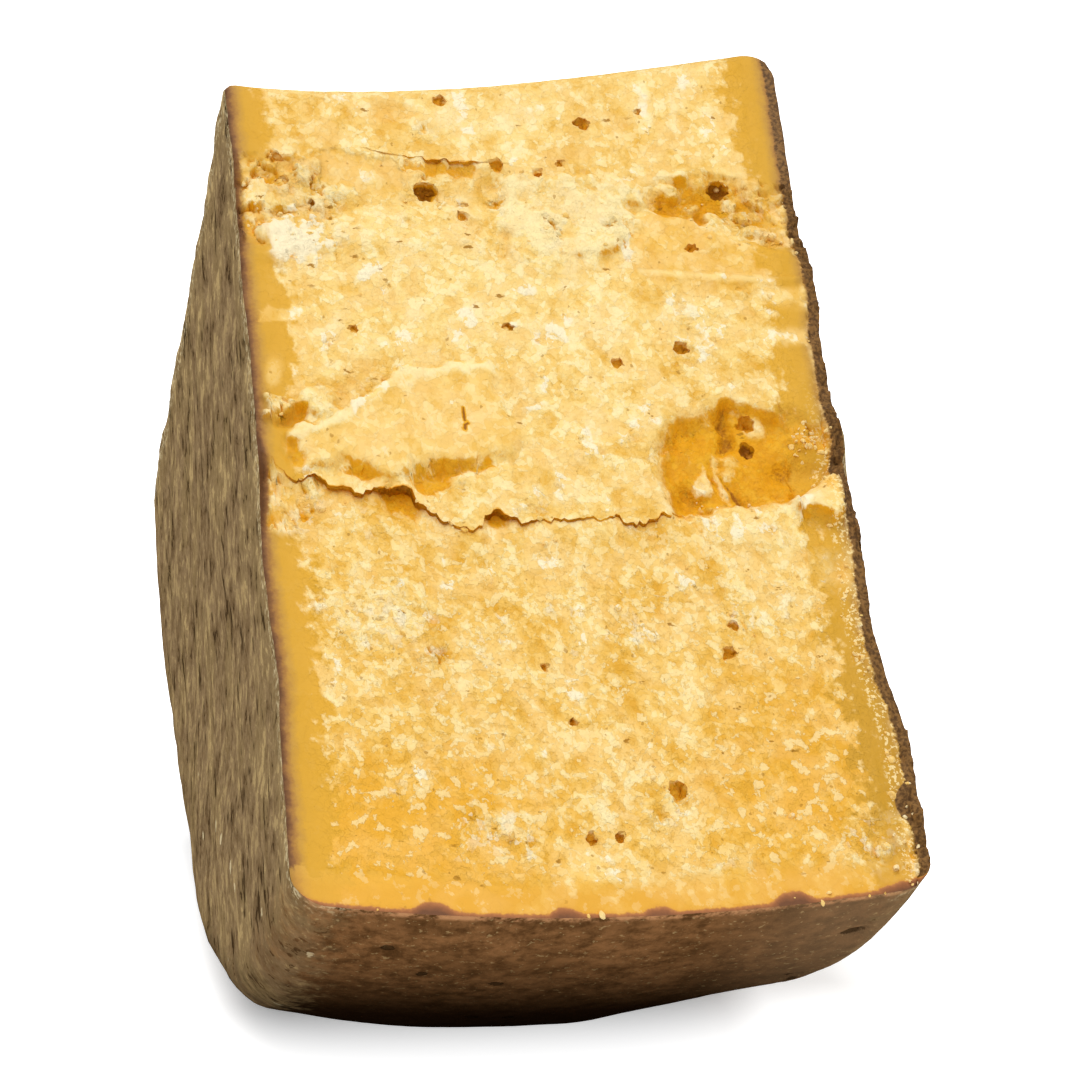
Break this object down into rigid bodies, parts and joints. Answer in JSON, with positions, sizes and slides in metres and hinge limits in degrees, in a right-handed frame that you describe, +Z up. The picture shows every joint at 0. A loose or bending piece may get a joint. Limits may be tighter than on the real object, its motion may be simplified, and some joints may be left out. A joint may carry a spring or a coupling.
{
  "type": "hard cheese chunk",
  "caption": "Quarter-wheel chunk of aged hard cheese standing on its curved rind, with two radial cut faces broken into ledges, flakes, pits and small eyes.",
  "frame": {"origin": "on the floor under the middle of the wheel, which is the middle of the footprint box", "axes": "+X along the axis of the wheel that the chunk was cut from, +Y from the front cut to the back cut, +Z up"},
  "size_m": [0.1273, 0.2949, 0.206],
  "materials": {
    "paste": "straw-yellow crumbly paste with whitish flecks on the cut faces, dry grey-brown rind on the flat faces and the rim"
  },
  "bodies": {
    "root": {"cheese_chunk": "paste"}
  },
  "joints": []
}
